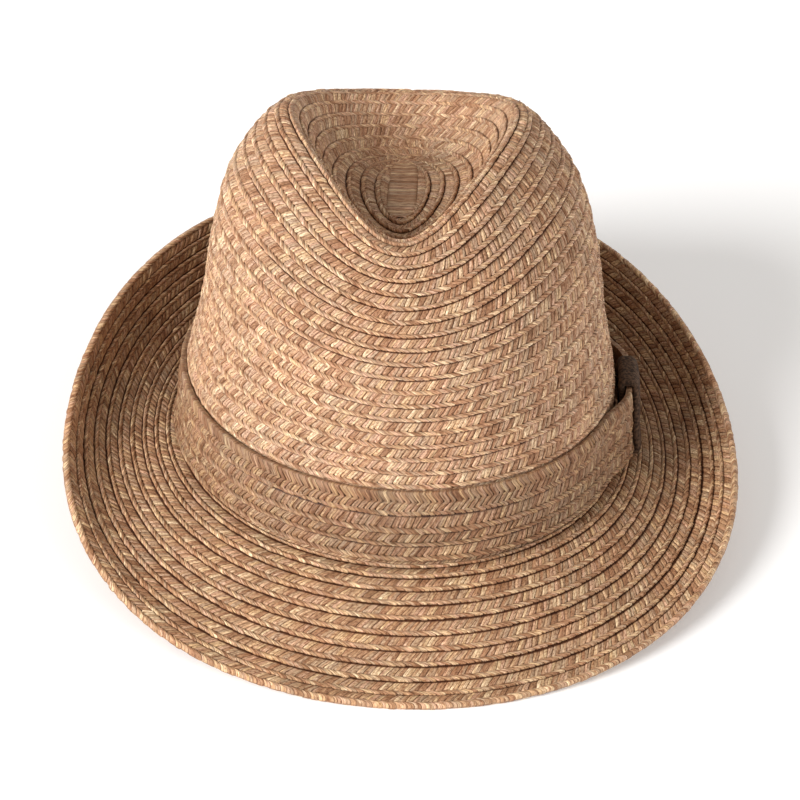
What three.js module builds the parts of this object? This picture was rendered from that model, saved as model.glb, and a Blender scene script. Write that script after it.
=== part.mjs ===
import * as THREE from 'three';

// A sewn straw-braid trilby with a band of the same braid and a leather keeper, in millimetres.
// +Z is up. The front of the hat faces -Y and the wearer's left is +X.
// Turns round the hat are counted from the front (0) through the wearer's left (90) to the back (180).

// Head opening, measured outside the straw where the crown bends into the brim.
const headWidth = 174;
const headLength = 210;
const strawWall = 2.2;
const edgeWall = 3;
const seam = 0.3;

// Crown: height of the crest at the sides above the bend, and the sink of the dent below it.
const crownHeight = 128;
const dentDepth = 27.5;
const pinchShift = -5.5;
const flankBreadth = 2.2;

// Brim: width from the bend to the edge, the bend itself, and the doubled braid row at the edge.
const brimWidth = 57;
const bendRadius = 4;
const collarHeight = 6.5;
const edgeRow = 5.5;
const restBed = 0.3;

// Band round the crown, and the leather keeper looped round the band on the wearer's left.
const bandWall = 2.2;
const bandTop = 29.5;
const bandBottom = 3.5;
const bandFlare = 1;
const keeperWall = 2.8;
const keeperWidth = 22;
const keeperTurn = 85;
const keeperSlack = 1.6;
const keeperLedge = 2;
const keeperFall = 13;

// Mesh steps round the hat, along the brim, round the bend and round the keeper's corners.
const steps = 72;
const brimSteps = 7;
const bendSteps = 4;
const cornerSteps = 3;
const keeperSteps = 4;

// Sections of the crown from the floor of the dent down to the collar.
// width is a share of half the head width, front and back are shares of half the head length,
// the rises are shares of the crown height, sink is a share of the dent depth,
// narrow and sharp pinch the front of the section, full squares its back, and shift carries
// the pinch towards the wearer's right.
const crownSections = [
  { width: 0.058, front: 0.113, back: 0.322, sideRise: 1, frontRise: 1, backRise: 1,
    sink: 1, narrow: 0, sharp: 1, full: 0, shift: 0.7, steps: 3 },
  { width: 0.314, front: 0.3, back: 0.5, sideRise: 1, frontRise: 0.956, backRise: 0.959,
    sink: 0.862, narrow: 0.3, sharp: 2, full: 0.1, shift: 0.8, steps: 4 },
  { width: 0.578, front: 0.552, back: 0.705, sideRise: 1, frontRise: 0.864, backRise: 0.895,
    sink: 0, narrow: 0.42, sharp: 1, full: 0.22, shift: 1, steps: 4 },
  { width: 0.779, front: 0.7, back: 0.862, sideRise: 0.845, frontRise: 0.758, backRise: 0.802,
    sink: 0, narrow: 0.105, sharp: 2, full: 0.06, shift: 0.5, steps: 3 },
  { width: 0.87, front: 0.835, back: 0.927, sideRise: 0.655, frontRise: 0.625, backRise: 0.645,
    sink: 0, narrow: 0.02, sharp: 2, full: 0.02, shift: 0.15, steps: 2 },
  { width: 0.917, front: 0.907, back: 0.95, sideRise: 0.437, frontRise: 0.427, backRise: 0.432,
    sink: 0, narrow: 0, sharp: 1, full: 0, shift: 0, steps: 2 },
  { width: 0.985, front: 0.946, back: 0.975, sideRise: 0.22, frontRise: 0.22, backRise: 0.22,
    sink: 0, narrow: 0, sharp: 1, full: 0, shift: 0, steps: 2 },
];

// Slopes of the brim in degrees, a row for each eighth of a turn from the front to the back.
// bend is the slope beside the band, middle and edge are further out, lip is that of the edge row,
// and width is a share of the brim width.
const brimSections = [
  { bend: 5, middle: -43, edge: -23, lip: -7, width: 1.07 },
  { bend: -2, middle: -27, edge: 4, lip: 0, width: 1.05 },
  { bend: -3, middle: 5, edge: 71, lip: 60, width: 0.89 },
  { bend: 13, middle: 49, edge: 69, lip: 68, width: 0.94 },
  { bend: 22, middle: 54, edge: 72, lip: 74, width: 1 },
];

const radians = THREE.MathUtils.degToRad;

function turnAt(i) {
  return (i / steps) * 2 * Math.PI;
}

// A value that is front, side or back at those turns. The larger the flank breadth, the longer
// it stays close to its value at the side.
function between(turn, front, side, back) {
  const c = Math.cos(turn);
  const forward = Math.max(c, 0) ** flankBreadth;
  const rearward = Math.max(-c, 0) ** flankBreadth;
  return side + (front - side) * forward + (back - side) * rearward;
}

// Level direction that points away from the head opening at a turn.
function outward(turn) {
  return new THREE.Vector3(headLength * Math.sin(turn), -headWidth * Math.cos(turn), 0).normalize();
}

// A column of the brim sections at any turn, as the cosine series through its five rows.
function brimValue(turn, column) {
  const rows = brimSections.map((section) => section[column]);
  const last = rows.length - 1;
  let value = 0;
  for (let wave = 0; wave <= last; wave += 1) {
    let share = 0;
    rows.forEach((row, j) => {
      const end = j === 0 || j === last ? 0.5 : 1;
      share += (end * row * Math.cos((wave * j * Math.PI) / last) * 2) / last;
    });
    const end = wave === 0 || wave === last ? 0.5 : 1;
    value += end * share * Math.cos(wave * turn);
  }
  return value;
}

function sectionPoint(section, turn) {
  const front = (1 + Math.cos(turn)) / 2;
  const pinch = section.narrow * front ** section.sharp - section.full * (1 - front) ** 2;
  const reach = (headLength / 4) * (section.back + section.front);
  const middle = (headLength / 4) * (section.back - section.front);
  const rise = between(turn, section.frontRise, section.sideRise, section.backRise);
  return new THREE.Vector3(
    (headWidth / 2) * section.width * Math.sin(turn) * (1 - pinch) + pinchShift * section.shift * front,
    middle - reach * Math.cos(turn),
    crownHeight * rise - dentDepth * section.sink,
  );
}

// The crown's outside at a turn: a smooth curve from the floor of the dent down to the collar.
function crownCurve(turn) {
  const points = crownSections.map((section) => sectionPoint(section, turn));
  points.push(new THREE.Vector3(
    (headWidth / 2) * Math.sin(turn),
    (-headLength / 2) * Math.cos(turn),
    collarHeight + seam,
  ));
  return new THREE.CatmullRomCurve3(points, false, 'centripetal');
}

// The crown's outside beside the band, at a height above the bend.
function wallPoint(turn, height) {
  const collar = new THREE.Vector3(
    (headWidth / 2) * Math.sin(turn),
    (-headLength / 2) * Math.cos(turn),
    height,
  );
  if (height <= collarHeight + seam) {
    return collar;
  }
  const curve = crownCurve(turn);
  let low = 1 - 2 / crownSections.length;
  let high = 1;
  for (let i = 0; i < 24; i += 1) {
    const middle = (low + high) / 2;
    if (curve.getPoint(middle).z > height) {
      low = middle;
    } else {
      high = middle;
    }
  }
  return curve.getPoint(high);
}

// Closed skin through rows of points. Every row is a loop of the same number of points.
// A closed skin joins its last row to its first, and an open one is capped across both ends.
function skin(rows, closed) {
  const count = rows[0].length;
  const positions = rows.flat().flatMap((point) => [point.x, point.y, point.z]);
  const index = [];
  const quad = (a, b, c, d) => {
    if (new Set([a, b, c]).size === 3) {
      index.push(a, b, c);
    }
    if (new Set([a, c, d]).size === 3) {
      index.push(a, c, d);
    }
  };
  const joins = closed ? rows.length : rows.length - 1;
  for (let r = 0; r < joins; r += 1) {
    const here = r * count;
    const there = ((r + 1) % rows.length) * count;
    for (let i = 0; i < count; i += 1) {
      const next = (i + 1) % count;
      quad(here + i, there + i, there + next, here + next);
    }
  }
  if (!closed) {
    const end = (rows.length - 1) * count;
    for (let i = 0; i < count / 2; i += 1) {
      const across = (count - i) % count;
      quad(i, i + 1, count - i - 1, across);
      quad(end + i, end + across, end + count - i - 1, end + i + 1);
    }
  }
  const geometry = new THREE.BufferGeometry();
  geometry.setAttribute('position', new THREE.Float32BufferAttribute(positions, 3));
  geometry.setIndex(index);
  return geometry;
}

// The same rows, moved inwards along the surface's own normals by the thickness of the wall.
function insideOf(rows, wall) {
  const count = rows[0].length;
  const surface = skin(rows, false);
  surface.computeVertexNormals();
  const normals = surface.getAttribute('normal');
  return rows.map((row, r) => row.map((point, i) => {
    const normal = new THREE.Vector3().fromBufferAttribute(normals, r * count + i);
    if (r === rows.length - 1) {
      normal.copy(outward(turnAt(i)));
    }
    if (r === 0) {
      normal.set(0, 0, 1);
    }
    return point.clone().addScaledVector(normal, -wall);
  }));
}

function ringOf(pointAt) {
  return Array.from({ length: steps }, (_, i) => pointAt(turnAt(i)));
}

function crownGeometry() {
  const stations = [];
  crownSections.forEach((section, k) => {
    for (let j = 0; j < section.steps; j += 1) {
      stations.push((k + j / section.steps) / crownSections.length);
    }
  });
  stations.push(1);
  const curves = ringOf(crownCurve);
  const outside = stations.map((station) => curves.map((curve) => curve.getPoint(station)));
  return skin([...outside, ...insideOf(outside, strawWall).reverse()], false);
}

// Profile of the brim at a turn: distance from the bend's corner, height, slope and wall.
function brimProfile(turn) {
  const slope = radians(brimValue(turn, 'bend'));
  const middle = radians(brimValue(turn, 'middle'));
  const edge = radians(brimValue(turn, 'edge'));
  const lip = radians(brimValue(turn, 'lip'));
  const width = brimWidth * brimValue(turn, 'width');
  const turned = Math.PI / 2 + slope;
  const start = bendRadius * Math.tan(turned / 2);
  const profile = [{ out: 0, up: collarHeight, slope: -Math.PI / 2, wall: strawWall }];
  for (let i = 0; i <= bendSteps; i += 1) {
    const bent = (turned * i) / bendSteps;
    profile.push({
      out: bendRadius * (1 - Math.cos(bent)),
      up: start - bendRadius * Math.sin(bent),
      slope: bent - Math.PI / 2,
      wall: strawWall,
    });
  }
  const fine = 12;
  let { out, up } = profile[profile.length - 1];
  const flat = width - edgeRow;
  for (let i = 0; i < brimSteps; i += 1) {
    const last = i === brimSteps - 1;
    const from = last ? flat : start + ((flat - start) * i) / (brimSteps - 1);
    const to = last ? width : start + ((flat - start) * (i + 1)) / (brimSteps - 1);
    let angle = slope;
    for (let j = 0; j < fine; j += 1) {
      const u = (from + ((to - from) * (j + 0.5)) / fine) / flat;
      const curved = slope * (1 - u) * (1 - 2 * u) + 4 * middle * u * (1 - u) + edge * u * (2 * u - 1);
      angle = last ? lip : curved;
      out += (Math.cos(angle) * (to - from)) / fine;
      up += (Math.sin(angle) * (to - from)) / fine;
    }
    profile.push({ out, up, slope: angle, wall: i >= brimSteps - 2 ? edgeWall : strawWall });
  }
  return profile;
}

function brimGeometry() {
  const profiles = Array.from({ length: steps }, (_, i) => brimProfile(turnAt(i)));
  const side = (under) => profiles[0].map((_, k) => ringOf((turn) => turn).map((turn, i) => {
    const { out, up, slope, wall } = profiles[i][k];
    const reach = out + (under ? wall * Math.sin(slope) : 0);
    const height = up - (under ? wall * Math.cos(slope) : 0);
    return new THREE.Vector3((headWidth / 2) * Math.sin(turn), (-headLength / 2) * Math.cos(turn), height)
      .addScaledVector(outward(turn), reach);
  }));
  return skin([...side(false), ...side(true).reverse()], true);
}

const keeperHalf = Math.asin(keeperWidth / headLength);

// How far the band's inner face stands off the crown at a turn and height.
// It lifts at the keeper, whose inner leg passes behind the band, and for a ledge past it. Its foot flares.
function bandStandoff(turn, height) {
  const away = Math.abs(turn - radians(keeperTurn)) - keeperHalf - radians(keeperLedge);
  const near = THREE.MathUtils.smoothstep(1 - away / radians(keeperFall), 0, 1);
  const foot = Math.max(0, 1 - (height - bandBottom) / (0.35 * (bandTop - bandBottom)));
  return seam + near * (keeperWall + seam + keeperSlack) + bandFlare * foot ** 2;
}

function bandPoint(turn, height, extra) {
  return wallPoint(turn, height).addScaledVector(outward(turn), bandStandoff(turn, height) + extra);
}

const bandShares = [1, 0.7, 0.4, 0.18, 0];

function bandGeometry() {
  const heights = bandShares.map((share) => bandBottom + share * (bandTop - bandBottom));
  const side = (extra) => heights.map((height) => ringOf((turn) => bandPoint(turn, height, extra)));
  return skin([...side(bandWall), ...side(0).reverse()], true);
}

// One loop of the keeper round the band at a turn, a distance clear of the band on all sides.
function keeperLoop(turn, clear) {
  const legs = [0.15, 0.5, 0.85].map((share) => bandBottom + share * (bandTop - bandBottom));
  const corner = (height, extra, from) => {
    const points = [];
    for (let i = 0; i <= cornerSteps; i += 1) {
      const angle = from + (i / cornerSteps) * (Math.PI / 2);
      points.push([height + clear * Math.sin(angle), extra + clear * Math.cos(angle)]);
    }
    return points;
  };
  const route = [
    ...legs.map((height) => [height, bandWall + clear]),
    ...corner(bandTop, bandWall, 0),
    ...corner(bandTop, 0, Math.PI / 2),
    ...legs.slice().reverse().map((height) => [height, -clear]),
    ...corner(bandBottom, 0, Math.PI),
    ...corner(bandBottom, bandWall, 1.5 * Math.PI),
  ];
  return route.map(([height, extra]) => bandPoint(turn, height, extra));
}

function keeperGeometry() {
  const turns = Array.from({ length: keeperSteps + 1 }, (_, i) => (
    radians(keeperTurn) + keeperHalf * ((2 * i) / keeperSteps - 1)
  ));
  const outside = turns.map((turn) => keeperLoop(turn, seam + keeperWall));
  const inside = turns.map((turn) => keeperLoop(turn, seam));
  return skin([...outside, ...inside.reverse()], true);
}

// The hat tips back until the front edge and the bend at the back touch the same level.
function restTilt(brim) {
  const points = brim.getAttribute('position');
  const lowest = (tilt, side) => {
    let low = Infinity;
    for (let i = 0; i < points.count; i += 1) {
      if (Math.sign(points.getY(i)) === side) {
        low = Math.min(low, points.getZ(i) * Math.cos(tilt) - points.getY(i) * Math.sin(tilt));
      }
    }
    return low;
  };
  let [low, high] = [-0.5, 0.5];
  for (let i = 0; i < 40; i += 1) {
    const tilt = (low + high) / 2;
    if (lowest(tilt, -1) < lowest(tilt, 1)) {
      low = tilt;
    } else {
      high = tilt;
    }
  }
  return (low + high) / 2;
}

const pieces = [
  { name: 'crown', geometry: crownGeometry(), color: 0xb98f66, roughness: 0.85 },
  { name: 'brim', geometry: brimGeometry(), color: 0xa9805a, roughness: 0.85 },
  { name: 'hat_band', geometry: bandGeometry(), color: 0xa07a55, roughness: 0.85 },
  { name: 'band_keeper', geometry: keeperGeometry(), color: 0x3a2a20, roughness: 0.7 },
];

const brim = pieces[1].geometry;
const tilt = restTilt(brim);
const group = new THREE.Group();
group.name = 'trilby';
pieces.forEach(({ name, geometry, color, roughness }) => {
  geometry.rotateX(-tilt);
  const mesh = new THREE.Mesh(
    geometry,
    new THREE.MeshStandardMaterial({ color, roughness, metalness: 0 }),
  );
  mesh.name = name;
  group.add(mesh);
});

// The origin is on the floor under the middle of the hat, and the straw beds down a little where it rests.
const box = new THREE.Box3().setFromObject(group, true);
const middle = box.getCenter(new THREE.Vector3());
pieces.forEach(({ geometry }) => geometry.translate(-middle.x, -middle.y, -box.min.z - restBed));
const settled = brim.getAttribute('position');
for (let i = 0; i < settled.count; i += 1) {
  settled.setZ(i, Math.max(settled.getZ(i), 0));
}

export default group;
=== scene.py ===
import math

import bpy
import numpy as np
from mathutils import Matrix, Vector


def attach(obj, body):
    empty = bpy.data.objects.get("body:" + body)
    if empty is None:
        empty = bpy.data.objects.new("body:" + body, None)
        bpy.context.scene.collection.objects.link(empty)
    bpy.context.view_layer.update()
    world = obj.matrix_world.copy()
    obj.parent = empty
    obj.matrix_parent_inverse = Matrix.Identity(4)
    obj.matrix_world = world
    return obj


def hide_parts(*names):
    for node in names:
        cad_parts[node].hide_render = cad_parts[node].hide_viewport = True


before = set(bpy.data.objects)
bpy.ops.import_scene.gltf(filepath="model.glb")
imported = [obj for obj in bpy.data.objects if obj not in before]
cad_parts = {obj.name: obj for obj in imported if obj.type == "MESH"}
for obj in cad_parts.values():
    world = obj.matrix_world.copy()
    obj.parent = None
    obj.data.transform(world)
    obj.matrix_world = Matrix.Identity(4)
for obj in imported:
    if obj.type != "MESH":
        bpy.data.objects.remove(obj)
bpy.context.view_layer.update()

# Crown. One long plait of split straw, sewn round and round from a short strip in the floor of the dent.
# Each round lies over the top of the next one down. A block presses in the teardrop dent and the pinch.
# Lengths are in millimetres; turns go from the front (0) through the wearer's left (90) to the back (180).
head_width, head_length = 174, 210
crown_height, dent_depth, pinch_shift, flank_breadth = 128, 27.5, -5.5, 2.2
collar_height, seam = 6.5, 0.3
rest_lean, rest_shift = math.radians(6.781), (0, 7.068, 12.728)
strand_pitch, dent_pitch, coarse_pitch = 2.5, 2, 5
dent_rows, wall_rows, hidden_rows = 9, 18, 6
band_top, band_bottom = 29.5, 3.5

# Columns: width, front and back reach, rises at side, front and back, sink,
# narrowing of the front, its sharpness, fullness of the back, shift of the pinch.
crown_sections = [
    (0.058, 0.113, 0.322, 1, 1, 1, 1, 0, 1, 0, 0.7),
    (0.314, 0.300, 0.500, 1, 0.956, 0.959, 0.862, 0.3, 2, 0.1, 0.8),
    (0.578, 0.552, 0.705, 1, 0.864, 0.895, 0, 0.42, 1, 0.22, 1),
    (0.779, 0.700, 0.862, 0.845, 0.758, 0.802, 0, 0.105, 2, 0.06, 0.5),
    (0.870, 0.835, 0.927, 0.655, 0.625, 0.645, 0, 0.02, 2, 0.02, 0.15),
    (0.917, 0.907, 0.950, 0.437, 0.427, 0.432, 0, 0, 1, 0, 0),
    (0.985, 0.946, 0.975, 0.220, 0.220, 0.220, 0, 0, 1, 0, 0),
]
crest_section, crown_steps = 2, 24
turns = np.linspace(0, 2 * np.pi, 721)


def outward(turn):
    """Level direction away from the head opening: its oval's normal at a turn."""
    normal = np.stack([head_length * np.sin(turn), -head_width * np.cos(turn), 0 * turn], -1)
    return normal / np.linalg.norm(normal, axis=-1, keepdims=True)


def section_ring(section, turn):
    """One section of the crown: an oval, narrowed towards the front and squared at the back."""
    width, front, back, side_rise, front_rise, back_rise, sink, narrow, sharp, full, shift = section
    ahead = (1 + np.cos(turn)) / 2
    pinch = narrow * ahead**sharp - full * (1 - ahead) ** 2
    reach = head_length / 4 * (back + front)
    middle = head_length / 4 * (back - front)
    rise = side_rise + (front_rise - side_rise) * np.maximum(np.cos(turn), 0) ** flank_breadth
    rise = rise + (back_rise - side_rise) * np.maximum(-np.cos(turn), 0) ** flank_breadth
    x = head_width / 2 * width * np.sin(turn) * (1 - pinch) + pinch_shift * shift * ahead
    return np.stack([x, middle - reach * np.cos(turn), crown_height * rise - dent_depth * sink], -1)


def meridians(rings, steps):
    """Centripetal Catmull-Rom curves through the same turn of each ring, in equal steps between rings."""
    ends = [2 * rings[0] - rings[1], *rings, 2 * rings[-1] - rings[-2]]
    share = (np.arange(steps) / steps)[:, None, None]
    curves = []
    for before, start, end, after in zip(ends, ends[1:], ends[2:], ends[3:]):
        gaps = [np.maximum(np.linalg.norm(b - a, axis=-1, keepdims=True) ** 0.5, 1e-4)
                for a, b in ((before, start), (start, end), (end, after))]
        leave = (start - before) / gaps[0] - (end - before) / (gaps[0] + gaps[1]) + (end - start) / gaps[1]
        arrive = (end - start) / gaps[1] - (after - start) / (gaps[1] + gaps[2]) + (after - end) / gaps[2]
        leave, arrive = leave * gaps[1], arrive * gaps[1]
        square = -3 * start + 3 * end - 2 * leave - arrive
        cube = 2 * start - 2 * end + leave + arrive
        curves.append(start + leave * share + square * share**2 + cube * share**3)
    return np.concatenate([*curves, rings[-1][None]])


def arc_lengths(curves):
    """Length along each curve from its start to each of its points."""
    steps = np.linalg.norm(np.diff(curves, axis=0), axis=-1)
    return np.concatenate([np.zeros((1, steps.shape[1])), np.cumsum(steps, 0)])


def surface_grid(curves, marks, fine=10):
    """Lays rows of equal width along each curve between marked places, and gives their points and normals.

    marks are pairs: a row number, and the arc length along each curve where that row begins."""
    arc = arc_lengths(curves)
    rows = np.arange(marks[0][0] * fine, marks[-1][0] * fine + 1) / fine
    points = np.empty((len(rows), curves.shape[1], 3))
    for i in range(curves.shape[1]):
        along = np.interp(rows, [m[0] for m in marks], [m[1][i] for m in marks])
        for axis in range(3):
            points[:, i, axis] = np.interp(along, arc[:, i], curves[:, i, axis])
    down = np.gradient(points, axis=0)
    wrapped = np.concatenate([points[:, -2:-1], points, points[:, 1:2]], 1)
    round_ = (wrapped[:, 2:] - wrapped[:, :-2]) / 2
    normals = np.cross(down, round_)
    normals /= np.maximum(np.linalg.norm(normals, axis=-1, keepdims=True), 1e-9)
    return {"first": rows[0], "fine": fine, "points": points, "normals": normals}


def on_surface(grid, row, turn, lift):
    """The point at a row number and turn, lifted along the normal: a blend of the four points round it."""
    across = np.clip((row - grid["first"]) * grid["fine"], 0, len(grid["points"]) - 1.001)
    round_ = (turn % (2 * np.pi)) / (2 * np.pi) * (len(turns) - 1)
    i, j = across.astype(int), np.minimum(round_.astype(int), len(turns) - 2)
    a, b = (across - i)[..., None], (round_ - j)[..., None]

    def blend(values):
        near = values[i, j] * (1 - b) + values[i, j + 1] * b
        far = values[i + 1, j] * (1 - b) + values[i + 1, j + 1] * b
        return near * (1 - a) + far * a

    normal = blend(grid["normals"])
    normal /= np.maximum(np.linalg.norm(normal, axis=-1, keepdims=True), 1e-9)
    return blend(grid["points"]) + normal * lift[..., None]


# The plait in section, from its tucked upper edge, down its face to the free lower edge, and back behind.
# Columns: share of the row, lean along the row in strands, lift in mm, groove between strands in mm, and how
# much deeper a hole is where a strand folds over.
row_face = [
    (-0.10, 0.10, -1.00, 0.00, 0),
    (0.04, 0.00, -0.62, 0.24, 0),
    (0.24, -0.32, -0.16, 0.42, 0),
    (0.44, -0.64, 0.12, 0.44, 0),
    (0.60, -0.88, 0.14, 0.40, 0.1),
    (0.68, -0.98, -0.16, 0.30, 0.5),
    (0.74, -0.50, 0.40, 0.24, 0.1),
    (0.86, -0.05, 0.64, 0.24, 0),
    (0.96, 0.30, 0.56, 0.18, 0),
    (1.00, 0.42, -0.30, 0.05, 0),
]
row_back = [(0.97, 0.50, -0.80, 0, 0), (-0.30, -0.60, -1.90, 0, 0), (-0.34, -0.60, -1.35, 0, 0)]
# Each strand has three columns of points: the groove before it, and its two shoulders.
strand_columns = np.array([0, 0.2, 0.8])
strand_crown = np.array([0, 1, 1])
strand_side = np.array([0, 1, -1])
corner_share = 0.68
# How uneven the plait is. The sides of a strand sway by a share of its width. Its level, fold and tilt and
# the slow wave of a round are in mm. The scallops and the wave of the free edge are shares of a row.
side_sway, hole_low, hole_high = 0.2, 0.3, 1.4
level_spread, fold_spread, tilt_mean, tilt_spread, round_wave = 0.12, 0.1, 0.05, 0.1, 0.09
scallop_mean, scallop_spread, scallop_notch, edge_wave = 0.01, 0.02, 0.04, 0.03
# Free and tucked shares mark the free lower and tucked upper parts of a row. The calm lifts the share that
# the material reads near the tucked edge towards the back of the dent, so less painted shade falls in the
# crease there.
free_share, tucked_share, calm_painted_crease = 0.8, 0.2, 0.14


def wander(rng, turn, size, waves=9):
    """A slow random wave round the hat that closes on itself: a short sum of sines."""
    value = 0 * turn
    for wave in range(1, waves + 1):
        value = value + rng.normal() * np.sin(wave * turn + rng.uniform(0, 2 * np.pi)) / wave**0.5
    return size * value / 2


def plait_round(grid, row, section, seed, pitch=strand_pitch, looks=None, press=1, calm=0):
    """One round of plait: a closed strip whose columns follow the slanting strands.

    Press flattens the strands, and calm the step between rounds towards the back and the painted shade in the
    crease under the round above. Returns the points (section samples by columns), the strand of each column,
    the share across as the material reads it, and the number of strands."""
    rng = np.random.default_rng(seed)
    share, lean, lift, groove, hole = (np.array(column)[:, None] for column in zip(*section))
    middle = on_surface(grid, np.full(len(turns), row + 0.5), turns, 0 * turns)
    length = np.concatenate([[0], np.cumsum(np.linalg.norm(np.diff(middle, axis=0), axis=1))])
    count = max(8, round(length[-1] / pitch))
    strand_rate = max(1, round(pitch / strand_pitch))
    upper, lower = rng.uniform(-side_sway, side_sway, (2, count))
    edges = upper + (lower - upper) * np.clip(share / corner_share, 0, 1)
    wide = 1 + np.roll(edges, -1, 1) - edges
    place = np.arange(count)[:, None] + edges[..., None] + strand_columns * wide[..., None]
    number = (np.arange(count)[:, None] + strand_columns).ravel()
    crown_of = np.tile(strand_crown, count)[None]
    level, fold, deep, tilt = (np.repeat(values, len(strand_columns)) for values in (
        rng.normal(0, level_spread, count), rng.normal(0, fold_spread, count),
        rng.uniform(hole_low, hole_high, count), rng.normal(tilt_mean, tilt_spread, count)))
    tilt = tilt * np.tile(strand_side, count)
    at = (place.reshape(len(section), -1) + lean) / count * length[-1]
    turn = np.interp(at % length[-1], length, turns)
    faced = (groove > 0) * 1.0
    strand = (np.where(share < corner_share, level + tilt, fold) * crown_of) * faced * press
    dip = (groove + hole * deep) * (1 - crown_of) * press
    behind_dent = calm * ((1 - np.cos(turn)) / 2) ** 2
    height = lift * (1 - behind_dent) + strand - dip + wander(rng, turn, round_wave) * faced
    scallop = np.repeat(rng.normal(scallop_mean, scallop_spread, count), len(strand_columns))
    scallop = scallop - scallop_notch * (1 - crown_of)
    at_row = row + share + (wander(rng, turn, edge_wave) + scallop) * (share > free_share)
    behind = np.arange(len(section))[:, None] > np.argmax(share[:, 0])
    seen = share if looks is None else np.interp(share, *looks)
    # Towards the back of the dent the tucked edge reads as further across, which thins the painted crease
    # shade.
    eased = np.maximum(seen, calm_painted_crease * behind_dent)
    seen = np.where(share < tucked_share, eased, seen) + 2 * behind
    return on_surface(grid, at_row, turn, height), number * strand_rate, seen, count * strand_rate


def to_frame(points):
    """From the level hat to its pose at rest: leaned back, moved over the origin, and in metres."""
    c, s = math.cos(rest_lean), math.sin(rest_lean)
    x, y, z = points[..., 0], points[..., 1], points[..., 2]
    placed = np.stack([x, y * c + z * s, z * c - y * s], -1) + np.array(rest_shift)
    return placed / 1000


def mesh_piece(name, points, quads, uv, material):
    """A mesh object from arrays of points, four-sided faces and UVs, smooth up to creases of 70 degrees.

    The hat's own weight presses flat the few strands that would reach through the floor."""
    points[:, 2] = np.maximum(points[:, 2], 0)
    mesh = bpy.data.meshes.new(name)
    mesh.vertices.add(len(points))
    mesh.vertices.foreach_set("co", points.astype(np.float32).ravel())
    mesh.loops.add(quads.size)
    mesh.loops.foreach_set("vertex_index", quads.astype(np.int32).ravel())
    mesh.polygons.add(len(quads))
    mesh.polygons.foreach_set("loop_start", np.arange(0, quads.size, 4, dtype=np.int32))
    mesh.polygons.foreach_set("use_smooth", np.ones(len(quads), bool))
    layer = mesh.uv_layers.new(name="plait")
    layer.data.foreach_set("uv", uv.astype(np.float32).ravel())
    mesh.update(calc_edges=True)
    mesh.validate()
    mesh.set_sharp_from_angle(angle=math.radians(70))
    mesh.materials.append(material)
    piece = bpy.data.objects.new(name, mesh)
    bpy.context.scene.collection.objects.link(piece)
    return piece


def join_rounds(rounds):
    """Joins rounds of plait into one set of points, faces and UVs. u counts strands, and 400 more a round."""
    points, quads, uvs, base = [], [], [], 0
    for k, (grid_points, number, share, count) in enumerate(rounds):
        samples, columns = grid_points.shape[:2]
        i, j = np.meshgrid(np.arange(samples), np.arange(columns), indexing="ij")
        below, beside = (i + 1) % samples, (j + 1) % columns
        corners = [(i, j, j), (below, j, j), (below, beside, j + 1), (i, beside, j + 1)]
        quads.append(np.stack([base + a * columns + b for a, b, _ in corners], -1).reshape(-1, 4))
        ends = np.append(number, count) + 400 * k
        corner_uvs = [np.stack([ends[c], share[a, c % columns]], -1) for a, _, c in corners]
        uvs.append(np.stack(corner_uvs, 2).reshape(-1, 2))
        points.append(grid_points.reshape(-1, 3))
        base += samples * columns
    return np.concatenate(points), np.concatenate(quads), np.concatenate(uvs)


def links(tree):
    """Short ways to add and join shader nodes in one tree."""
    def node(kind, **settings):
        made = tree.nodes.new(kind)
        for key, value in settings.items():
            setattr(made, key, value)
        return made

    def put(value, socket):
        if isinstance(value, bpy.types.NodeSocket):
            tree.links.new(value, socket)
        else:
            socket.default_value = value

    def calc(operation, a, b=0.0, c=0.0, clamp=False):
        made = node("ShaderNodeMath", operation=operation, use_clamp=clamp)
        for value, socket in zip((a, b, c), made.inputs):
            put(value, socket)
        return made.outputs[0]

    def remap(value, low, high, to_low=0.0, to_high=1.0):
        made = node("ShaderNodeMapRange", interpolation_type="SMOOTHSTEP")
        for v, socket in zip((value, low, high, to_low, to_high), made.inputs):
            put(v, socket)
        return made.outputs[0]

    def mix(blend, factor, a, b):
        made = node("ShaderNodeMix", data_type="RGBA", blend_type=blend)
        put(factor, made.inputs["Factor"])
        put(a, made.inputs[6])
        put(b, made.inputs[7])
        return made.outputs[2]

    return node, put, calc, remap, mix


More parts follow.
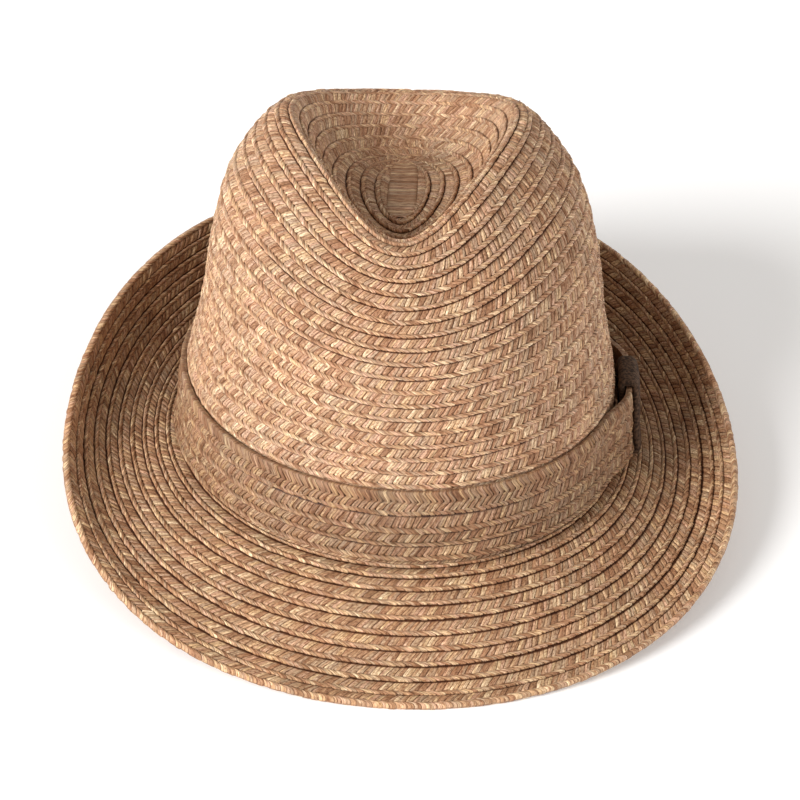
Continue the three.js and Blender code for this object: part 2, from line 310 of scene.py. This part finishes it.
def straw_group():
    """Node group for plaited straw: each strand has its own tint and fibres run along it.
    Painted shade falls in the grooves, the splits, the fold holes and the crease under the round above, and a
    painted highlight lightens the raised lower edge of each round.
    """
    tree = bpy.data.node_groups.new("plaited_straw_look", "ShaderNodeTree")
    tree.interface.new_socket("Tint", in_out="INPUT", socket_type="NodeSocketColor")
    tree.interface.new_socket("Color", in_out="OUTPUT", socket_type="NodeSocketColor")
    tree.interface.new_socket("Roughness", in_out="OUTPUT", socket_type="NodeSocketFloat")
    tree.interface.new_socket("Height", in_out="OUTPUT", socket_type="NodeSocketFloat")
    node, put, calc, remap, mix = links(tree)
    inputs, outputs = node("NodeGroupInput"), node("NodeGroupOutput")
    place = node("ShaderNodeTexCoord")
    lattice = node("ShaderNodeUVMap", uv_map="plait")
    split = node("ShaderNodeSeparateXYZ")
    put(lattice.outputs[0], split.inputs[0])
    along, across = split.outputs[0], split.outputs[1]
    fold = calc("ADD", calc("GREATER_THAN", across, 0.695), calc("GREATER_THAN", across, 2.17))
    number = calc("ADD", calc("FLOOR", along), calc("MULTIPLY", fold, 0.37))
    chance = node("ShaderNodeTexWhiteNoise", noise_dimensions="1D")
    put(number, chance.inputs["W"])
    half = node("ShaderNodeTexWhiteNoise", noise_dimensions="1D")
    half_number = calc("FLOOR", calc("MULTIPLY", along, 2.0))
    put(calc("ADD", half_number, calc("MULTIPLY", fold, 0.61)), half.inputs["W"])
    tone = calc("MULTIPLY", calc("ADD", chance.outputs["Value"], half.outputs["Value"]), 0.5)
    ramp = node("ShaderNodeValToRGB")
    stops = [(0.04, (0.30, 0.165, 0.085)), (0.20, (0.43, 0.25, 0.145)), (0.36, (0.49, 0.315, 0.18)),
             (0.52, (0.47, 0.34, 0.225)), (0.66, (0.60, 0.39, 0.265)), (0.82, (0.64, 0.455, 0.26)),
             (0.96, (0.76, 0.60, 0.40))]
    while len(ramp.color_ramp.elements) < len(stops):
        ramp.color_ramp.elements.new(0.5)
    for element, (position, colour) in zip(ramp.color_ramp.elements, stops):
        element.position = position
        element.color = (*colour, 1)
    put(remap(tone, 0.05, 0.95, 0.05, 0.95), ramp.inputs[0])
    broad = node("ShaderNodeTexNoise")
    put(place.outputs["Object"], broad.inputs["Vector"])
    broad.inputs["Scale"].default_value = 55
    broad.inputs["Detail"].default_value = 3
    patches = remap(broad.outputs["Fac"], 0.3, 0.7)
    colour = mix("MULTIPLY", 1.0, ramp.outputs[0], inputs.outputs["Tint"])
    colour = mix("MULTIPLY", patches, colour, (1.03, 0.95, 0.90, 1))
    stretched = node("ShaderNodeCombineXYZ")
    put(calc("MULTIPLY", along, 9.0), stretched.inputs[0])
    put(calc("MULTIPLY", across, 2.6), stretched.inputs[1])
    fibre = node("ShaderNodeTexNoise", noise_dimensions="2D")
    put(stretched.outputs[0], fibre.inputs["Vector"])
    fibre.inputs["Scale"].default_value = 1
    fibre.inputs["Detail"].default_value = 4
    streak = fibre.outputs["Fac"]
    colour = mix("MULTIPLY", remap(streak, 0.40, 0.60, 0.75, 0.0), colour, (0.62, 0.50, 0.42, 1))
    colour = mix("MULTIPLY", remap(streak, 0.56, 0.72, 0.0, 0.8), colour, (1.28, 1.32, 1.36, 1))
    spread = node("ShaderNodeCombineXYZ")
    put(calc("MULTIPLY", along, 3.2), spread.inputs[0])
    put(calc("MULTIPLY", across, 7.0), spread.inputs[1])
    fleck = node("ShaderNodeTexNoise", noise_dimensions="2D")
    put(spread.outputs[0], fleck.inputs["Vector"])
    fleck.inputs["Scale"].default_value = 1
    fleck.inputs["Detail"].default_value = 2
    spot = fleck.outputs["Fac"]
    colour = mix("MULTIPLY", remap(spot, 0.46, 0.32, 0.0, 0.8), colour, (0.52, 0.37, 0.28, 1))
    colour = mix("MULTIPLY", remap(spot, 0.56, 0.70, 0.0, 0.8), colour, (1.35, 1.36, 1.36, 1))
    # Painted highlight: the raised free lower edge of each round is lightened as if it caught the light. It
    # fades in from 0.74 to 0.86 across the row and shows on the front face only.
    painted_edge_highlight = calc("MULTIPLY", remap(across, 0.74, 0.86), calc("LESS_THAN", across, 1.1))
    colour = mix("MULTIPLY", calc("MULTIPLY", painted_edge_highlight, 0.7), colour, (1.2, 1.2, 1.2, 1))
    from_edge = calc("ABSOLUTE", calc("SUBTRACT", calc("FRACT", along), 0.5))
    # Painted shade in the grooves between strands. The same mask also sinks the grooves in the bump height.
    groove = remap(from_edge, 0.41, 0.5)
    # Painted shade down the split in the middle of most strands. The same mask also sinks the split in the
    # bump height.
    is_split = calc("GREATER_THAN", chance.outputs["Value"], 0.35)
    split_shade_and_dip = calc("MULTIPLY", remap(from_edge, 0.07, 0.0), is_split)
    # Painted shade in the holes where a strand folds over at the corner of the chevron, stronger or weaker at
    # random.
    legs = calc("MINIMUM", calc("ABSOLUTE", calc("SUBTRACT", across, 0.685)),
                calc("ABSOLUTE", calc("SUBTRACT", across, 2.17)))
    corner = calc("MULTIPLY", remap(legs, 0.07, 0.02), remap(from_edge, 0.32, 0.42))
    corner = calc("MULTIPLY", corner, remap(half.outputs["Value"], 0.0, 0.6, 0.3, 1.0))
    # Painted shade in the crease just under the lip of the round above.
    crease = remap(across, 0.13, 0.03)
    # All the painted shade together: grooves, splits, fold holes and the crease.
    painted_shade = calc("MAXIMUM", calc("MULTIPLY", groove, 0.7), corner, clamp=True)
    painted_shade = calc("MAXIMUM", painted_shade, calc("MULTIPLY", split_shade_and_dip, 0.5), clamp=True)
    painted_shade = calc("MAXIMUM", painted_shade, crease, clamp=True)
    # The painted shade colour, a deep brown.
    colour = mix("MULTIPLY", painted_shade, colour, (0.16, 0.082, 0.042, 1))
    put(colour, outputs.inputs["Color"])
    put(remap(streak, 0.3, 0.7, 0.72, 0.5), outputs.inputs["Roughness"])
    relief = calc("SUBTRACT", calc("MULTIPLY", streak, 0.5), calc("MULTIPLY", groove, 0.8))
    height = calc("SUBTRACT", relief, calc("MULTIPLY", split_shade_and_dip, 0.4))
    put(height, outputs.inputs["Height"])
    return tree


def straw_material(name, look, tint):
    """Matt straw with a slight sheen, tinted as a whole."""
    material = bpy.data.materials.new(name)
    material.use_nodes = True
    tree = material.node_tree
    node, put = links(tree)[:2]
    shader = tree.nodes["Principled BSDF"]
    straw = node("ShaderNodeGroup", node_tree=look)
    straw.inputs["Tint"].default_value = (*tint, 1)
    bump = node("ShaderNodeBump")
    bump.inputs["Strength"].default_value = 0.6
    bump.inputs["Distance"].default_value = 0.0003
    put(straw.outputs["Height"], bump.inputs["Height"])
    put(straw.outputs["Color"], shader.inputs["Base Color"])
    put(straw.outputs["Roughness"], shader.inputs["Roughness"])
    put(bump.outputs[0], shader.inputs["Normal"])
    shader.inputs["Specular IOR Level"].default_value = 0.35
    return material


straw_look = straw_group()
crown_straw = straw_material("crown_straw", straw_look, (1, 1, 1.02))
ovals = [section_ring(section, turns) for section in crown_sections]
collar = np.stack([head_width / 2 * np.sin(turns), -head_length / 2 * np.cos(turns),
                   np.full(len(turns), collar_height + seam)], -1)
crown_curves = meridians([*ovals, collar], crown_steps)
crown_arc = arc_lengths(crown_curves)
flank = (crest_section + 1) * crown_steps
above_band = [np.interp(-band_top, -crown_curves[flank:, i, 2], crown_arc[flank:, i])
              for i in range(len(turns))]
last_row = dent_rows + wall_rows
crown_marks = [(0, 0 * turns), (dent_rows, crown_arc[crest_section * crown_steps]),
               (last_row, np.array(above_band)), (last_row + hidden_rows, crown_arc[-1])]
crown_grid = surface_grid(crown_curves, crown_marks)


def crown_rounds(first, last, section=row_face + row_back, **finish):
    """The crown's rounds of plait from one row number up to the next."""
    return [plait_round(crown_grid, row, section, 100 + row, **finish) for row in range(first, last)]


# The plait is cut into three pieces of fair size. Of the rounds behind the band only the inside shows, so
# they are coarser.
upper_row, middle_row = dent_rows + 2, dent_rows + 10
dent_rounds = crown_rounds(0, dent_rows, pitch=dent_pitch, press=0.55, calm=0.75)
dent_rounds += crown_rounds(dent_rows, upper_row)
upper_rounds = crown_rounds(upper_row, middle_row)
wall_rounds = crown_rounds(middle_row, last_row)
wall_rounds += crown_rounds(last_row, last_row + hidden_rows, row_face[::3] + row_back, pitch=coarse_pitch)
for name, rounds in (("crown_dent_plait", dent_rounds), ("crown_upper_plait", upper_rounds),
                     ("crown_wall_plait", wall_rounds)):
    points, quads, uv = join_rounds(rounds)
    piece = mesh_piece(name, to_frame(points), quads, uv, crown_straw)
    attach(piece, "root")
    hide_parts("crown")

# Strip in the floor of the dent: the start of the plait, laid flat from front to back.
# It lies over the first round, so both its long edges stand up a little.
strip_wide, strip_ahead, strip_behind = crown_sections[0][:3]
strip_floor = crown_height - dent_depth
strip_front, strip_back = -head_length / 2 * strip_ahead, head_length / 2 * strip_behind
strip_half = head_width / 2 * strip_wide
strip_pitch, strip_overrun, strip_overlap, strip_taper = 1.5, 2, 0.6, 0.16
# Columns: share of the half width, lean in strands, lift in mm, groove.
strip_section = [
    (-1.00, 0.30, -0.30, 0.00),
    (-0.96, 0.28, 0.30, 0.10),
    (-0.66, 0.10, 0.42, 0.20),
    (-0.30, -0.06, 0.36, 0.24),
    (0.00, -0.12, 0.34, 0.24),
    (0.30, -0.06, 0.36, 0.24),
    (0.66, 0.10, 0.42, 0.20),
    (0.96, 0.28, 0.30, 0.10),
    (1.00, 0.30, -0.30, 0.00),
    (0.90, 0.30, -1.60, 0.00),
    (-0.90, 0.30, -1.60, 0.00),
]


def strip_round():
    """The strip as a closed tube along Y, rounded in at both ends to a point."""
    rng = np.random.default_rng(7)
    share, lean, lift, groove = (np.array(column)[:, None] for column in zip(*strip_section))
    count = round((strip_back - strip_front) / strip_pitch) + 2
    number = (np.arange(count)[:, None] + strand_columns).ravel()
    crown_of = np.tile(strand_crown, count)[None]
    along = np.clip((number[None] + 0.3 * lean) / count, 0, 1)
    y = strip_front - strip_overrun + along * (strip_back - strip_front + 2 * strip_overrun)
    end = np.clip(np.minimum(along, 1 - along) / strip_taper, 0, 1)
    half = (strip_half + strip_overlap) * np.sqrt(1 - (1 - end) ** 2)
    strand = np.repeat(rng.normal(0, 0.08, count), len(strand_columns))[None]
    z = strip_floor + lift - 0.6 * groove * (1 - crown_of) + strand * (groove > 0)
    shift = pinch_shift * crown_sections[0][-1] * (1 - along)
    points = np.stack([share * half + shift, y, z + 0 * y], -1)
    seen = np.broadcast_to((share + 1) * 0.24 + 0.15, y.shape)
    return points, number, seen, count


# A round closes on itself, but the strip doesn't: the faces that would join its two ends are left out.
strip = strip_round()
points, quads, uv = join_rounds([strip])
strip_columns = strip[0].shape[1]
kept = np.arange(len(quads)) % strip_columns != strip_columns - 1
quads, uv = quads[kept], uv.reshape(-1, 4, 2)[kept].reshape(-1, 2)
piece = mesh_piece("crown_strip_plait", to_frame(points), quads, uv, crown_straw)
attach(piece, "root")
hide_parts("crown")

# Brim. The same plait goes on outwards from the bend, ten rounds to the edge, the last one doubled.
# It turns down in front and up at the sides and back, and shows its underside from behind and below.
brim_width, bend_radius, edge_row = 57, 4, 5.5
brim_rows, bend_rows, bend_lead = 10, 2, 1.5
# Columns: slope beside the band, further out and near the edge, slope of the edge row, share of the width;
# a row for each eighth of a turn from the front to the back.
brim_sections = np.array([
    (5, -43, -23, -7, 1.07),
    (-2, -27, 4, 0, 1.05),
    (-3, 5, 71, 60, 0.89),
    (13, 49, 69, 68, 0.94),
    (22, 54, 72, 74, 1),
])


def brim_value(column, turn):
    """A column of the brim sections at any turn: the cosine series through its five rows."""
    waves = np.arange(len(brim_sections))
    fit = np.cos(np.outer(waves * np.pi / waves[-1], waves))
    return np.cos(np.outer(turn, waves)) @ np.linalg.solve(fit, brim_sections[:, column])


def brim_curves(turn, bends=12, steps=120, ends=12):
    """Profile of the brim at each turn: down the collar, round the bend, and out along a slope that changes
    with the square of the distance, then straight across the edge row."""
    slope, middle, edge, lip = (np.radians(brim_value(k, turn)) for k in range(4))
    width = brim_width * brim_value(4, turn)
    turned = np.pi / 2 + slope
    start = bend_radius * np.tan(turned / 2)
    out, up = [0 * turn], [collar_height + 0 * turn]
    for i in range(bends + 1):
        out.append(bend_radius * (1 - np.cos(turned * i / bends)))
        up.append(start - bend_radius * np.sin(turned * i / bends))
    flat = width - edge_row
    pace = (flat - start) / steps
    for j in range(steps):
        u = (start + pace * (j + 0.5)) / flat
        angle = slope * (1 - u) * (1 - 2 * u) + 4 * middle * u * (1 - u) + edge * u * (2 * u - 1)
        out.append(out[-1] + np.cos(angle) * pace)
        up.append(up[-1] + np.sin(angle) * pace)
    for j in range(ends):
        out.append(out[-1] + np.cos(lip) * edge_row / ends)
        up.append(up[-1] + np.sin(lip) * edge_row / ends)
    base = np.stack([head_width / 2 * np.sin(turn), -head_length / 2 * np.cos(turn), 0 * turn], -1)
    curves = base + outward(turn) * np.array(out)[..., None]
    curves[..., 2] = np.array(up)
    return curves, bends + 1, bends + 1 + steps


# The underside of a round, and the doubled edge round from above and below, in the same columns as row_face.
row_under = [
    (0.97, 0.55, -0.85, 0.00, 0),
    (0.84, 0.40, -1.20, 0.00, 0),
    (0.66, 0.22, -1.30, 0.16, 0),
    (0.46, -0.10, -1.50, 0.24, 0),
    (0.26, -0.42, -1.70, 0.26, 0.1),
    (0.17, -0.56, -1.50, 0.24, 0.3),
    (0.08, -0.34, -1.95, 0.18, 0.1),
    (-0.10, 0.10, -2.10, 0.16, 0),
    (-0.24, 0.40, -2.00, 0.12, 0),
    (-0.30, 0.52, -1.25, 0.00, 0),
]
edge_face = [
    (-0.10, 0.10, -0.60, 0.00, 0),
    (0.02, 0.30, -0.10, 0.20, 0),
    (0.18, 0.02, 0.16, 0.30, 0),
    (0.36, -0.30, 0.24, 0.32, 0),
    (0.58, -0.62, 0.18, 0.34, 0.1),
    (0.66, -0.72, -0.05, 0.30, 0.45),
    (0.73, -0.50, 0.28, 0.20, 0.1),
    (0.82, -0.05, 0.34, 0.20, 0),
    (0.94, 0.30, 0.12, 0.18, 0),
    (1.02, 0.46, -0.70, 0.14, 0),
    (1.03, 0.46, -1.50, 0.14, 0),
]
edge_under = [
    (0.97, 0.34, -2.45, 0.16, 0),
    (0.80, 0.02, -2.85, 0.20, 0),
    (0.62, -0.38, -2.80, 0.20, 0.1),
    (0.54, -0.52, -2.55, 0.24, 0.4),
    (0.44, -0.34, -2.80, 0.24, 0.1),
    (0.24, -0.04, -2.75, 0.22, 0),
    (0.02, 0.28, -2.50, 0.18, 0),
    (-0.20, 0.52, -2.20, 0.12, 0),
    (-0.26, 0.60, -1.25, 0.00, 0),
]
curves, bend_end, flat_end = brim_curves(turns)
brim_arc = arc_lengths(curves)
brim_grid = surface_grid(curves, [(-bend_rows, 0 * turns), (0, brim_arc[bend_end] - bend_lead),
                                  (brim_rows - 1, brim_arc[flat_end]), (brim_rows, brim_arc[-1])])
# The brim is pressed flatter than the crown, so the lines between its rounds show more than its strands.
brim_pitch, brim_press = 2.9, 0.8
# The brim looks let the painted shade under the lip of the round above reach a little further down each brim
# round.
brim_looks = ((-0.10, 0.15, 1.0), (-0.10, 0.09, 1.0))
brim_straw = straw_material("brim_straw", straw_look, (0.90, 0.88, 0.85))
collar_round = plait_round(brim_grid, -bend_rows, row_face[::3] + row_back, 200, coarse_pitch)
brim_section = row_face + row_under
brim_rounds = [plait_round(brim_grid, row, brim_section, 202 + row, brim_pitch, brim_looks, brim_press)
               for row in range(1 - bend_rows, brim_rows - 1)]
edge_round = plait_round(brim_grid, brim_rows - 1, edge_face + edge_under, 230, brim_pitch)
inner_count = 6
inner_rounds = [collar_round, *brim_rounds[:inner_count]]
outer_rounds = [*brim_rounds[inner_count:], edge_round]
for name, rounds in (("brim_inner_plait", inner_rounds), ("brim_outer_plait", outer_rounds)):
    points, quads, uv = join_rounds(rounds)
    piece = mesh_piece(name, to_frame(points), quads, uv, brim_straw)
    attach(piece, "root")
    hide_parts("brim")

# Band. Four rounds of the same plait in a slightly redder straw; the top one shows its full width.
# It hugs the foot of the crown, flares a little at its lower edge, and stands off where the keeper is.
band_wall, band_flare, keeper_wall, keeper_slack = 2.2, 1, 2.8, 1.6
keeper_turn, keeper_width = math.radians(85), 22
keeper_ledge, keeper_fall = math.radians(2), math.radians(13)
keeper_half = math.asin(keeper_width / head_length)
foot_section, flare_share = 4, 0.35
band_rows = [0, 0.352, 0.606, 0.789, 1]


def wall_point(turn, height):
    """The hat's outside at a turn and height behind the band: the crown's, or the collar's oval below it."""
    if height <= collar_height + seam:
        x, y = head_width / 2 * np.sin(turn), -head_length / 2 * np.cos(turn)
        return np.stack([x, y, 0 * turn + height], -1)
    foot = crown_curves[foot_section * crown_steps:]
    found = np.empty(np.shape(turn) + (3,))
    for axis in range(3):
        column = [np.interp(-height, -foot[:, i, 2], foot[:, i, axis]) for i in range(len(turns))]
        found[..., axis] = np.interp(turn, turns, column)
    found[..., 2] = height
    return found


def band_standoff(turn, height):
    """How far the band's inner face stands off the crown: lifted where the keeper is, flared at the foot."""
    away = np.abs(turn - keeper_turn) - keeper_half - keeper_ledge
    near = np.clip(1 - away / keeper_fall, 0, 1)
    near = near * near * (3 - 2 * near)
    foot = max(0, 1 - (height - band_bottom) / (flare_share * (band_top - band_bottom)))
    return seam + near * (keeper_wall + seam + keeper_slack) + band_flare * foot**2


def band_point(turn, height, extra):
    """A point of the band at a turn and height, a distance out from its inner face."""
    return wall_point(turn, height) + outward(turn) * (band_standoff(turn, height) + extra)[..., None]


# The top round, which shows its whole width, in the same columns as row_face.
top_face = [
    (-0.02, 0.30, -0.90, 0.10, 0),
    (0.01, 0.25, -0.05, 0.14, 0),
    (0.06, 0.10, 0.18, 0.22, 0),
    (0.20, 0.42, 0.26, 0.30, 0),
    (0.36, 0.88, 0.20, 0.32, 0),
    (0.44, 1.02, 0.02, 0.34, 0.4),
    (0.52, 0.55, 0.28, 0.36, 0),
    (0.68, 0.12, 0.34, 0.38, 0.1),
    (0.80, -0.20, 0.06, 0.34, 0.5),
    (0.86, 0.25, 0.46, 0.24, 0.1),
    (0.95, 0.62, 0.50, 0.20, 0),
    (1.00, 0.76, -0.30, 0.05, 0),
]
top_back = [(0.97, 0.76, -0.80, 0, 0), (0.5, 0.3, -2.0, 0, 0), (0.0, 0.3, -1.9, 0, 0)]
band_heights = np.linspace(band_top, band_bottom, 14)
band_curves = np.array([band_point(turns, height, band_wall) for height in band_heights])
band_length = arc_lengths(band_curves)[-1]
band_grid = surface_grid(band_curves, [(row, share * band_length) for row, share in enumerate(band_rows)])
# The top round's upper leg shows too: the material reads it as the plait's other side.
top_looks = ((-0.02, 0.44, 0.52, 0.80, 1.0), (1.97, 2.165, 0.30, 0.685, 1.0))
band_rounds = [plait_round(band_grid, 0, top_face + top_back, 300, looks=top_looks)]
band_rounds += [plait_round(band_grid, row, row_face + row_back, 300 + row) for row in (1, 2, 3)]
points, quads, uv = join_rounds(band_rounds)
band_straw = straw_material("band_straw", straw_look, (0.64, 0.60, 0.56))
piece = mesh_piece("hat_band_plait", to_frame(points), quads, uv, band_straw)
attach(piece, "root")
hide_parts("hat_band")

# Keeper. A strap of soft dark brown suede, looped round the band on the wearer's left.
# It is cut from one thick hide, so its long edges are rounded and its nap is a little uneven.


def keeper_loop(turn, clear):
    """One loop of the strap round the band at a turn, a distance clear of the band, with round corners."""
    legs = np.array([0.12, 0.3, 0.5, 0.7, 0.88]) * (band_top - band_bottom) + band_bottom
    angles = np.linspace(0, np.pi / 2, 7)
    route = [(height, band_wall + clear) for height in legs]
    for corner, (height, extra) in enumerate(((band_top, band_wall), (band_top, 0))):
        route += [(height + clear * math.sin(a), extra + clear * math.cos(a))
                  for a in angles + corner * np.pi / 2]
    route += [(height, -clear) for height in legs[::-1]]
    for corner, (height, extra) in enumerate(((band_bottom, 0), (band_bottom, band_wall))):
        route += [(height + clear * math.sin(a), extra + clear * math.cos(a))
                  for a in angles + (corner + 2) * np.pi / 2]
    return np.array([band_point(np.array([turn]), height, extra)[0] for height, extra in route])


suede = bpy.data.materials.new("dark_suede")
suede.use_nodes = True
node, put, _, remap, mix = links(suede.node_tree)
shader = suede.node_tree.nodes["Principled BSDF"]
place = node("ShaderNodeTexCoord")
nap = node("ShaderNodeTexNoise")
put(place.outputs["Object"], nap.inputs["Vector"])
nap.inputs["Scale"].default_value = 900
nap.inputs["Detail"].default_value = 4
put(mix("MIX", remap(nap.outputs["Fac"], 0.35, 0.65), (0.026, 0.014, 0.008, 1), (0.11, 0.062, 0.036, 1)),
    shader.inputs["Base Color"])
nap_bump = node("ShaderNodeBump")
nap_bump.inputs["Strength"].default_value = 0.6
nap_bump.inputs["Distance"].default_value = 0.0004
put(nap.outputs["Fac"], nap_bump.inputs["Height"])
put(nap_bump.outputs[0], shader.inputs["Normal"])
shader.inputs["Roughness"].default_value = 0.85
shader.inputs["Specular IOR Level"].default_value = 0.25
# The strap's own section: share of its half width, and share of its wall out from the inner face.
shells = ((-0.86, 1), (-0.5, 1.02), (0, 1.03), (0.5, 1.02), (0.86, 1), (0.96, 0.9), (1, 0.65), (1, 0.35),
          (0.96, 0.1), (0.86, 0), (0, 0), (-0.86, 0), (-0.96, 0.1), (-1, 0.35), (-1, 0.65), (-0.96, 0.9))
strap = np.array([keeper_loop(keeper_turn + keeper_half * share, seam + keeper_wall * depth)
                  for share, depth in shells])
strap_count = strap.shape[1]
strap_across = np.repeat(np.linspace(0, 1, len(shells))[:, None], strap_count, 1)
points, quads, uv = join_rounds([(strap, np.arange(strap_count), strap_across, strap_count)])
piece = mesh_piece("suede_keeper", to_frame(points), quads, uv, suede)
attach(piece, "root")
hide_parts("band_keeper")

# Floor, light and camera: a pale floor, a soft key light from the left and the front, a weak fill light from
# the right, and a long lens.
floor_mesh = bpy.data.meshes.new("floor")
floor_mesh.from_pydata([(-20, -20, 0), (20, -20, 0), (20, 20, 0), (-20, 20, 0)], [], [(0, 1, 2, 3)])
floor = bpy.data.objects.new("floor", floor_mesh)
bpy.context.scene.collection.objects.link(floor)
pale = bpy.data.materials.new("pale_floor")
pale.use_nodes = True
pale_shader = pale.node_tree.nodes["Principled BSDF"]
pale_shader.inputs["Base Color"].default_value = (0.9, 0.9, 0.9, 1)
pale_shader.inputs["Roughness"].default_value = 0.9
pale_shader.inputs["Emission Color"].default_value = (1, 1, 1, 1)
pale_shader.inputs["Emission Strength"].default_value = 0.15
floor_mesh.materials.append(pale)

world = bpy.data.worlds.new("studio")
bpy.context.scene.world = world
world.use_nodes = True
backdrop = world.node_tree.nodes["Background"]
backdrop.inputs["Color"].default_value = (1, 0.95, 0.9, 1)
backdrop.inputs["Strength"].default_value = 0.42


def soft_light(name, towards, strength, softness):
    """A distant soft light that comes from a direction; softness is its width in degrees."""
    data = bpy.data.lights.new(name, "SUN")
    data.energy = strength
    data.angle = math.radians(softness)
    lamp = bpy.data.objects.new(name, data)
    lamp.rotation_mode = "QUATERNION"
    lamp.rotation_quaternion = Vector(towards).to_track_quat("Z", "Y")
    bpy.context.scene.collection.objects.link(lamp)


soft_light("key", (-0.78, -0.50, 0.47), 4.35, 30)
soft_light("fill", (0.85, -0.45, 0.3), 1.6, 60)

# The view was fitted to the hat's outline in the picture. Its angles are measured from the level hat.
camera_elevation, camera_yaw, camera_roll = math.radians(29.377), math.radians(-3.443), math.radians(2.696)
camera_distance, camera_target = 1250.7, np.array([0.241, 0, 11.722])
pixels_per_mm, picture_width = 2.47, 800
back = np.array([math.sin(camera_yaw) * math.cos(camera_elevation),
                 -math.cos(camera_yaw) * math.cos(camera_elevation), math.sin(camera_elevation)])
right = np.array([math.cos(camera_yaw), math.sin(camera_yaw), 0])
up = np.cross(back, right)
right, up = (right * math.cos(camera_roll) + up * math.sin(camera_roll),
             up * math.cos(camera_roll) - right * math.sin(camera_roll))
stand = to_frame(camera_target + back * camera_distance)
axes = [to_frame(axis * 1000) - to_frame(np.zeros(3)) for axis in (right, up, back)]
lens = bpy.data.cameras.new("camera")
lens.sensor_width = 36
lens.lens = pixels_per_mm * camera_distance / picture_width * lens.sensor_width
lens.clip_start = 0.1
lens.clip_end = 60
camera = bpy.data.objects.new("camera", lens)
matrix = np.eye(4)
matrix[:3, 0], matrix[:3, 1], matrix[:3, 2], matrix[:3, 3] = *axes, stand
camera.matrix_world = Matrix(matrix.tolist())
bpy.context.scene.collection.objects.link(camera)
bpy.context.scene.camera = camera
bpy.context.scene.view_settings.view_transform = "Standard"
